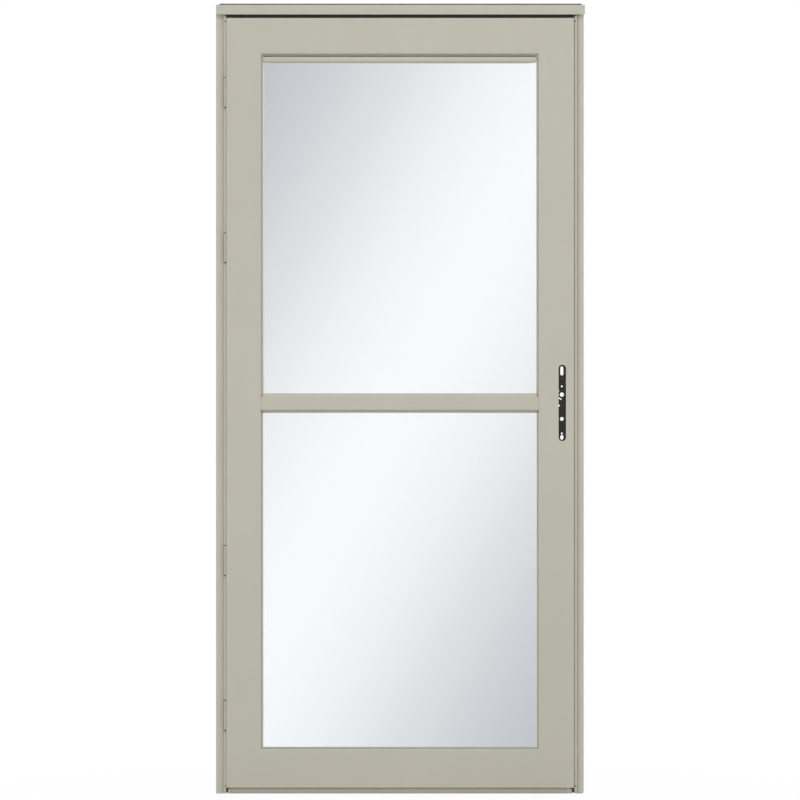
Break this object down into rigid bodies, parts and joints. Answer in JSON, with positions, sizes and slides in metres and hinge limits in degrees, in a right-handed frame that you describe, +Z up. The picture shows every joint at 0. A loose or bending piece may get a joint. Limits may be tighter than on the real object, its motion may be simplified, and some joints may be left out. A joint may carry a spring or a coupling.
{
  "type": "retractable screen storm door",
  "caption": "Full-view storm door hung in a Z-bar frame, with upper and lower glass, a roll-up screen at the head and a mortise lock case ready for a handle.",
  "frame": {"origin": "back face of the hinge-side mounting flange, on its centre line, at its lower end", "axes": "+X from the hinge side to the latch side, +Y into the house through the wall plane, +Z up; outdoors is -Y"},
  "size_m": [0.9625, 0.0506, 2.062],
  "materials": {
    "sandtone_paint": "satin baked enamel, warm grey-beige",
    "tan_vinyl": "matte extruded vinyl, close to the paint",
    "black_seal": "matte black",
    "clear_glass": "clear polished",
    "lock_steel": "dark zinc, satin",
    "plated_steel": "nickel plate, satin",
    "screen_mesh": "charcoal fibreglass mesh"
  },
  "bodies": {
    "frame": {"header_top_seal": "black_seal", "header_weatherstrip": "black_seal", "header_z_bar": "sandtone_paint", "hinge_frame_leaf_1": "sandtone_paint", "hinge_frame_leaf_2": "sandtone_paint", "hinge_frame_leaf_3": "sandtone_paint", "hinge_frame_leaf_4": "sandtone_paint", "hinge_pins": "plated_steel", "hinge_side_cover": "sandtone_paint", "hinge_side_seal": "tan_vinyl", "hinge_z_bar": "sandtone_paint", "latch_side_cover": "sandtone_paint", "latch_side_seal": "tan_vinyl", "latch_z_bar": "sandtone_paint", "strike_plate": "plated_steel"},
    "leaf": {"bottom_rail": "sandtone_paint", "hinge_door_leaf_1": "sandtone_paint", "hinge_door_leaf_2": "sandtone_paint", "hinge_door_leaf_3": "sandtone_paint", "hinge_door_leaf_4": "sandtone_paint", "hinge_stile": "sandtone_paint", "latch_bolt": "plated_steel", "latch_stile": "sandtone_paint", "lock_case": "lock_steel", "lock_faceplate": "plated_steel", "lower_glass": "clear_glass", "lower_glass_retainer": "tan_vinyl", "mid_rail": "sandtone_paint", "sash_bottom_rail": "sandtone_paint", "sash_top_rail": "sandtone_paint", "sash_track_left": "sandtone_paint", "sash_track_right": "sandtone_paint", "screen_cassette": "sandtone_paint", "screen_pull_bar": "sandtone_paint", "screen_roll": "screen_mesh", "sweep_channel": "sandtone_paint", "sweep_end_cap_left": "tan_vinyl", "sweep_end_cap_right": "tan_vinyl", "sweep_fins": "black_seal", "top_rail": "sandtone_paint", "trim_bottom": "sandtone_paint", "trim_left": "sandtone_paint", "trim_right": "sandtone_paint", "trim_top": "sandtone_paint", "upper_glass": "clear_glass"}
  },
  "joints": [
    {"name": "leaf_swing", "type": "hinge", "parent": "frame", "child": "leaf", "pos_m": [0.0133, -0.016, 1], "axis": [0, 0, -1], "range_deg": [0, 105]}
  ]
}
